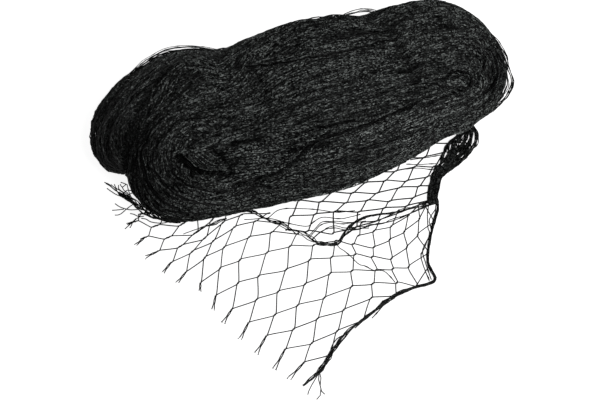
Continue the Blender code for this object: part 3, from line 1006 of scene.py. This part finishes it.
def cut_end(start, reach):
    """Two strands that leave a knot together and fork, with frayed fibres at the tips."""
    lines = []
    way = Vector(reach).normalized()
    length = Vector(reach).length
    for side in (-1, 1):
        across = turned(way, math.pi / 2) * side * TWINE * 0.45
        fork = turned(way, side * FORK_TURN * (0.6 + 0.8 * random.random()))
        tip = length * (1.0 - FORK_AT) * (0.85 + 0.4 * random.random())
        stem = start + way * length * FORK_AT + across
        steps = [start + across * 0.5, start.lerp(stem, 0.5) + across, stem, stem + fork * tip * 0.5]
        steps.append(stem + fork * tip * 0.8)
        lines.append([(on_floor(spot, 0.0004), OPEN_TWINE, LOOSE_TONE) for spot in steps])
        for _ in range(3):
            fray = turned(fork, random.uniform(-0.5, 0.5))
            begin = stem + fork * tip * 0.7
            ends = [begin, begin + (fork + fray) * tip * 0.1, begin + (fork + fray * 2.0) * tip * 0.13]
            lines.append([(on_floor(spot, 0.0003 * random.random()), 0.5, LOOSE_TONE) for spot in ends])
    return lines


end_lines = []
for number, reach in CUT_ENDS.items():
    end_lines += cut_end(front_knot(number, number), reach)
for reach in CORNER_ENDS:
    start, way = Vector(CORNER), Vector(reach)
    side = Vector((-way.y, way.x)) * random.uniform(-0.15, 0.15)
    spots = [start, start + way * 0.3, start + way * 0.6 + side, start + way * 0.85 + side, start + way]
    end_lines.append([(on_floor(spot, 0.0004), 0.9, LOOSE_TONE) for spot in spots])
ends = draw_twine("cut_ends", end_lines, 5, black_twine)

# %% [markdown]
# ## Gathered strands
# At its right edge the spread net is drawn together into a thick strand, and behind it the net folds over
# itself. Both are many twines that run side by side along one route, each wandering round it and knotted
# now and then.

# %% Gathered strands
GATHERED_TURN = 2.6
GATHERED_WAVE = 0.35
GATHERED_HEIGHT = 0.6
GATHERED_TONE = LOOSE_TONE * 2.5


def gathered(stops, radii, count, seed, thin=1.0):
    """Strands that run together along a route of stops, spread over a radius given at each stop."""
    route = smooth_route(stops)
    stations = [i * (len(route) - 1) / (len(radii) - 1) for i in range(len(radii))]
    lines = []
    for number in range(count):
        first = random.random() * 2 * math.pi
        reach = math.sqrt((number + 0.5) / count)
        shift = random.random() * GATHERED_BAR
        line = []
        for i, spot in enumerate(route):
            ahead, behind = route[min(i + 1, len(route) - 1)], route[max(i - 1, 0)]
            way = (ahead - behind).normalized()
            radius = smooth_value(stations, radii, i)
            turn = first + GATHERED_TURN * noise.noise(Vector((i * 0.16, number * 2.7, seed)))
            wave = GATHERED_WAVE * radius * noise.noise(Vector((i * 0.5, number, seed)))
            wide = reach * radius * math.cos(turn) + wave
            high = reach * radius * (1.0 + math.sin(turn)) * GATHERED_HEIGHT
            lift = spot.z if len(spot) == 3 else 0.0
            place = on_floor((spot.x - way.y * wide, spot.y + way.x * wide), high + lift)
            knotted = (i * ROUTE_STEP + shift) % GATHERED_BAR < ROUTE_STEP
            line.append((place, thin * (KNOT if knotted else 1.0), GATHERED_TONE * random.random()))
        lines.append(line)
    return lines


EDGE_RADII = (
    0.0026, 0.0045, 0.0060, 0.0034, 0.0030, 0.0034, 0.0034, 0.0026, 0.0028, 0.0026, 0.0030, 0.0050,
)
BESIDE_EDGE = (
    ((-0.036, -0.396), (-0.013, -0.385), (0.009, -0.377)),
    ((-0.001, -0.389), (0.018, -0.379), (0.053, -0.362)),
    ((-0.010, -0.380), (0.020, -0.372), (0.050, -0.366)),
    ((0.179, -0.215), (0.169, -0.234), (0.159, -0.263), (0.160, -0.268), (0.138, -0.294), (0.127, -0.305),
     (0.123, -0.325), (0.121, -0.356)),
    ((0.188, -0.225), (0.168, -0.244), (0.160, -0.268), (0.146, -0.280), (0.133, -0.297), (0.127, -0.320),
     (0.124, -0.355)),
)
EDGE_STRANDS = 7
BESIDE_RADII = (0.001, 0.002, 0.001)
edge_lines = gathered(RIGHT_EDGE, EDGE_RADII, EDGE_STRANDS, 1.0)
for number, stops in enumerate(BESIDE_EDGE):
    edge_lines += gathered(stops, BESIDE_RADII, 1, 5.0 + number)
edge = draw_twine("right_edge", edge_lines, 5, black_twine)

# %% [markdown]
# Each fold of the net is a route, the radii along it and the number of its strands. A single twine only
# wavers by a millimetre.

# %% Folds of the net
ALONE = (0.001, 0.001, 0.001)
FOLD_THIN = 0.85
FOLDS = (
    (((-0.149, -0.106), (-0.127, -0.118), (-0.096, -0.152), (-0.065, -0.186), (-0.041, -0.214),
     (-0.023, -0.226), (-0.005, -0.233)), (0.002, 0.004, 0.006, 0.006, 0.006, 0.006, 0.004), 4),
    (((0.190, -0.210), (0.178, -0.210), (0.154, -0.209), (0.107, -0.206), (0.082, -0.200), (0.062, -0.198),
     (0.040, -0.202), (0.024, -0.209), (-0.003, -0.230), (-0.023, -0.228), (-0.040, -0.219)), (0.005,
     0.005, 0.003, 0.003, 0.002, 0.003, 0.003, 0.003, 0.004, 0.004, 0.003), 5),
    (((0.188, -0.214), (0.172, -0.214), (0.152, -0.217), (0.107, -0.221), (0.086, -0.219), (0.065, -0.216),
     (0.045, -0.216), (0.027, -0.213), (-0.003, -0.228)), (0.003, 0.003, 0.002, 0.003, 0.004, 0.004,
     0.002), 3),
    (((-0.050, -0.204), (-0.031, -0.192), (-0.017, -0.184), (0.003, -0.188), (0.022, -0.198),
     (0.060, -0.205)), (0.003, 0.003, 0.003), 2),
    (((-0.047, -0.208), (-0.030, -0.199), (-0.014, -0.196), (0.002, -0.199), (0.018, -0.209),
     (0.060, -0.220)), (0.003, 0.003, 0.003), 2),
    (((-0.008, -0.225), (-0.005, -0.243), (0.000, -0.249), (0.010, -0.268), (0.017, -0.285),
     (0.025, -0.290), (0.036, -0.304), (0.052, -0.311), (0.060, -0.326), (0.063, -0.338)),
     (0.002, 0.001, 0.001), 1),
    (((-0.106, -0.140), (-0.078, -0.130), (-0.014, -0.154), (0.014, -0.170), (0.049, -0.179)), ALONE, 1),
    (((-0.146, -0.128), (-0.106, -0.140), (-0.071, -0.164), (-0.043, -0.180), (-0.027, -0.174),
     (-0.011, -0.172), (0.022, -0.187), (0.055, -0.190)), ALONE, 1),
    (((0.184, -0.114), (0.215, -0.120), (0.243, -0.124)), ALONE, 1),
    (((0.173, -0.120), (0.200, -0.130), (0.229, -0.139)), ALONE, 1),
    (((0.160, -0.127), (0.189, -0.135), (0.222, -0.150)), ALONE, 1),
    (((-0.214, -0.117), (-0.202, -0.118), (-0.185, -0.115), (-0.175, -0.115)),
     (0.001, 0.003, 0.003, 0.001), 4),
    (((-0.258, -0.119), (-0.236, -0.118), (-0.214, -0.117), (-0.200, -0.119)), ALONE, 1),
    (((-0.253, -0.131), (-0.232, -0.124), (-0.210, -0.117)), ALONE, 1),
)
fold_lines = []
for number, (stops, radii, count) in enumerate(FOLDS):
    fold_lines += gathered(stops, radii, count, 10.0 + number, FOLD_THIN)
folds = draw_twine("net_folds", fold_lines, 5, black_twine)

# %% [markdown]
# ## The bunch that runs under the hank
# Where the folds and the thick strand meet, the net is still gathered. From there it fans out and goes in
# under the hank, with narrow diamonds between its strands.

# %% Bunch
BUNCH_LEFT = (
    (0.176, -0.212), (0.181, -0.199), (0.197, -0.175), (0.211, -0.153), (0.233, -0.140), (0.245, -0.124),
    (0.259, -0.106), (0.285, -0.094), (0.292, -0.078),
)
BUNCH_RIGHT = (
    (0.193, -0.220), (0.198, -0.205), (0.212, -0.187), (0.224, -0.169), (0.252, -0.158), (0.292, -0.142),
    (0.316, -0.117), (0.322, -0.097), (0.320, -0.080),
)
BUNCH_LOCKS = 9
LOCK_STRANDS = 8
LOCK_STEPS = 4

left_side = smooth_route(BUNCH_LEFT, 0.009)
right_side = smooth_route(BUNCH_RIGHT, 0.009)
right_step = (len(right_side) - 1) / (len(left_side) - 1)
right_side = [right_side[round(i * right_step)] for i in range(len(left_side))]
bunch_lines = []
for number in range(BUNCH_LOCKS):
    share = (number + 0.5) / BUNCH_LOCKS
    stops, radii = [], []
    for i, (a, b) in enumerate(zip(left_side, right_side)):
        zigzag = 1.0 - 2.0 * abs(i / LOCK_STEPS % 2 - 1.0)
        swing = (1 if number % 2 else -1) * zigzag * 0.5 / BUNCH_LOCKS
        place = a.lerp(b, share + swing + 0.05 * noise.noise(Vector((i * 0.4, number * 1.7, 3.0))))
        stops.append((place.x, place.y, 0.004 * (1.0 + noise.noise(Vector((i * 0.5, number * 1.3, 6.0))))))
        radii.append((b - a).length / BUNCH_LOCKS * 0.5 + 0.0014)
    bunch_lines += gathered(stops, radii, LOCK_STRANDS, 20.0 + number)
bunch = draw_twine("bunch", bunch_lines, 5, black_twine)

# %% [markdown]
# ## The tangle at the left end
# The net comes out from under the left end of the hank as a tangle: a band of gathered strands along the
# hank, a bundle that points outwards, and loose ends.

# %% Tangle
BAND = (
    (-0.343, 0.004), (-0.336, -0.008), (-0.327, -0.019), (-0.320, -0.031), (-0.313, -0.044),
    (-0.304, -0.057), (-0.293, -0.070), (-0.276, -0.083), (-0.255, -0.094),
)
BAND_RADII = (0.002, 0.004, 0.006, 0.008, 0.009, 0.009, 0.008, 0.006, 0.003)
TANGLE = (
    ((-0.362, 0.033), (-0.355, 0.026), (-0.351, 0.016), (-0.344, 0.004), (-0.338, -0.007),
     (-0.330, -0.019), (-0.324, -0.030)),
    ((-0.360, 0.030), (-0.354, 0.022), (-0.349, 0.012), (-0.342, 0.002), (-0.335, -0.010),
     (-0.326, -0.024)),
    ((-0.361, 0.019), (-0.356, 0.011), (-0.349, 0.001), (-0.340, -0.008), (-0.332, -0.020),
     (-0.325, -0.027)),
    ((-0.352, 0.025), (-0.346, 0.012), (-0.343, -0.003), (-0.333, -0.016), (-0.324, -0.025)),
    ((-0.346, 0.023), (-0.345, 0.014), (-0.340, 0.007), (-0.335, -0.001), (-0.331, -0.016),
     (-0.328, -0.026)),
    ((-0.339, 0.019), (-0.341, 0.012), (-0.337, 0.004), (-0.330, -0.005), (-0.328, -0.017)),
    ((-0.334, 0.023), (-0.330, 0.020), (-0.325, 0.015)),
    ((-0.336, 0.019), (-0.334, 0.012), (-0.326, 0.015)),
    ((-0.334, 0.012), (-0.333, 0.005), (-0.328, -0.004), (-0.326, -0.016)),
    ((-0.324, 0.015), (-0.325, 0.004), (-0.325, -0.009), (-0.323, -0.021)),
    ((-0.335, -0.001), (-0.328, 0.003), (-0.321, 0.000)),
    ((-0.335, -0.015), (-0.329, -0.008), (-0.321, -0.006)),
    ((-0.323, -0.028), (-0.332, -0.031), (-0.341, -0.035), (-0.351, -0.040), (-0.357, -0.041),
     (-0.363, -0.039)),
    ((-0.320, -0.043), (-0.331, -0.040), (-0.337, -0.037), (-0.345, -0.031), (-0.351, -0.025),
     (-0.356, -0.017)),
    ((-0.344, -0.033), (-0.354, -0.031), (-0.365, -0.028)),
    ((-0.316, -0.053), (-0.323, -0.057), (-0.330, -0.050), (-0.336, -0.046)),
    ((-0.314, -0.060), (-0.323, -0.059), (-0.329, -0.061), (-0.337, -0.065), (-0.345, -0.069),
     (-0.354, -0.074)),
    ((-0.329, -0.060), (-0.337, -0.065), (-0.340, -0.070), (-0.345, -0.075)),
    ((-0.320, -0.062), (-0.312, -0.067), (-0.307, -0.074), (-0.298, -0.080), (-0.286, -0.085),
     (-0.273, -0.086)),
)
BAND_STRANDS = 9
TANGLE_TWINE = 0.95
tangle_lines = gathered(BAND, BAND_RADII, BAND_STRANDS, 40.0)
for stops in TANGLE:
    height = 0.002 * random.random()
    places = smooth_route(stops, 0.003)
    tangle_lines.append([(on_floor(spot, height), TANGLE_TWINE, LOOSE_TONE) for spot in places])
tangle = draw_twine("left_tangle", tangle_lines, 5, black_twine)

# %% [markdown]
# ## The net as a sheet
# A net is measured drawn out, with its diamonds closed: twelve rows of bars long, and as wide as its twines
# side by side.

# %% [markdown]
# ## Slack strands
# A few turns of the hank have come loose. They stand off it as thin arcs: a fringe along the far rim at the
# left and the right, loops round the right end, and two along the far side. Light shows between them and
# the hank.

# %% Slack strands
FRINGE = (
    ((-0.262, 0.181, 0.097), (-0.245, 0.186, 0.103), (-0.230, 0.191, 0.108), (-0.211, 0.195, 0.111),
     (-0.191, 0.195, 0.119), (-0.170, 0.187, 0.128), (-0.152, 0.182, 0.129), (-0.131, 0.173, 0.130),
     (-0.110, 0.169, 0.122), (-0.092, 0.160, 0.118)),
    ((-0.261, 0.180, 0.096), (-0.229, 0.189, 0.106), (-0.211, 0.192, 0.109), (-0.191, 0.191, 0.117),
     (-0.171, 0.184, 0.126), (-0.152, 0.178, 0.127), (-0.131, 0.170, 0.128), (-0.095, 0.160, 0.120)),
    ((-0.255, 0.180, 0.097), (-0.224, 0.186, 0.107), (-0.194, 0.186, 0.117), (-0.165, 0.178, 0.127),
     (-0.131, 0.168, 0.128), (-0.095, 0.158, 0.121)),
    ((0.300, 0.110, 0.147), (0.322, 0.103, 0.145), (0.336, 0.094, 0.145), (0.350, 0.085, 0.140),
     (0.364, 0.076, 0.131), (0.377, 0.068, 0.122), (0.389, 0.054, 0.114), (0.396, 0.038, 0.108)),
)
SLACK = (
    ((0.380, 0.062, 0.118), (0.400, 0.022, 0.105), (0.405, 0.002, 0.100), (0.405, -0.020, 0.098),
     (0.404, -0.042, 0.086), (0.403, -0.062, 0.075), (0.393, -0.075, 0.071), (0.379, -0.086, 0.069),
     (0.355, -0.099, 0.065), (0.330, -0.107, 0.063), (0.300, -0.108, 0.056)),
    ((0.385, 0.050, 0.112), (0.399, 0.018, 0.103), (0.401, -0.004, 0.097), (0.400, -0.024, 0.094),
     (0.396, -0.045, 0.083), (0.392, -0.064, 0.073), (0.378, -0.078, 0.070), (0.362, -0.089, 0.068),
     (0.338, -0.101, 0.066), (0.310, -0.106, 0.058)),
    ((-0.049, 0.157, 0.128), (-0.005, 0.157, 0.135), (0.037, 0.147, 0.153), (0.083, 0.147, 0.148),
     (0.126, 0.138, 0.151), (0.176, 0.137, 0.129)),
    ((0.120, 0.130, 0.148), (0.143, 0.130, 0.156), (0.180, 0.126, 0.158), (0.217, 0.105, 0.155)),
)
FRINGE_RADII = (0.0005, 0.0025, 0.0030, 0.0030, 0.0025, 0.0015)
FRINGE_STRANDS = 5
FRINGE_THIN = 0.6
SLACK_RADII = (0.0010, 0.0030, 0.0040, 0.0040, 0.0030, 0.0010)
SLACK_STRANDS = 6
SLACK_THIN = 0.75

slack_lines = []
for number, stops in enumerate(FRINGE):
    slack_lines += gathered(stops, FRINGE_RADII, FRINGE_STRANDS, 50.0 + number, FRINGE_THIN)
for number, stops in enumerate(SLACK):
    slack_lines += gathered(stops, SLACK_RADII, SLACK_STRANDS, 60.0 + number, SLACK_THIN)
slack = draw_twine("slack_strands", slack_lines, 5, black_twine)

# %% [markdown]
# ## Floor and light
# The photograph is a cut-out on white. A plain white floor, a bright surround and one large soft lamp from
# above keep the shadow faint.

# %% Floor and light
WHITE = (1.0, 1.0, 1.0, 1.0)
FLOOR_WHITE = (0.7, 0.7, 0.7, 1.0)
FLOOR_GLOW = 0.88
SURROUND = 0.16
LAMP_SIZE = 1.2
LAMP_POWER = 22

bpy.ops.object.select_all(action="DESELECT")
bpy.ops.mesh.primitive_plane_add(size=14, location=(0, 0, 0))
floor = bpy.context.object
floor.name = "floor"
floor_paint = bpy.data.materials.new("white_floor")
floor_paint.use_nodes = True
floor_shader = floor_paint.node_tree.nodes["Principled BSDF"]
for name, value in (("Base Color", FLOOR_WHITE), ("Roughness", 0.9), ("Emission Color", WHITE),
                    ("Emission Strength", FLOOR_GLOW)):
    floor_shader.inputs[name].default_value = value
floor.data.materials.append(floor_paint)

world = bpy.data.worlds.new("studio")
world.use_nodes = True
world.node_tree.nodes["Background"].inputs["Color"].default_value = WHITE
world.node_tree.nodes["Background"].inputs["Strength"].default_value = SURROUND
bpy.context.scene.world = world
bpy.ops.object.light_add(type="AREA", location=(0.6, -1.1, 1.7),
                         rotation=(math.radians(33), math.radians(19), 0))
lamp = bpy.context.object
lamp.data.shape = "RECTANGLE"
lamp.data.size = LAMP_SIZE
lamp.data.size_y = LAMP_SIZE
lamp.data.energy = LAMP_POWER
bpy.context.scene.view_settings.view_transform = "Standard"
print("floor and a lamp of", LAMP_POWER, "W")
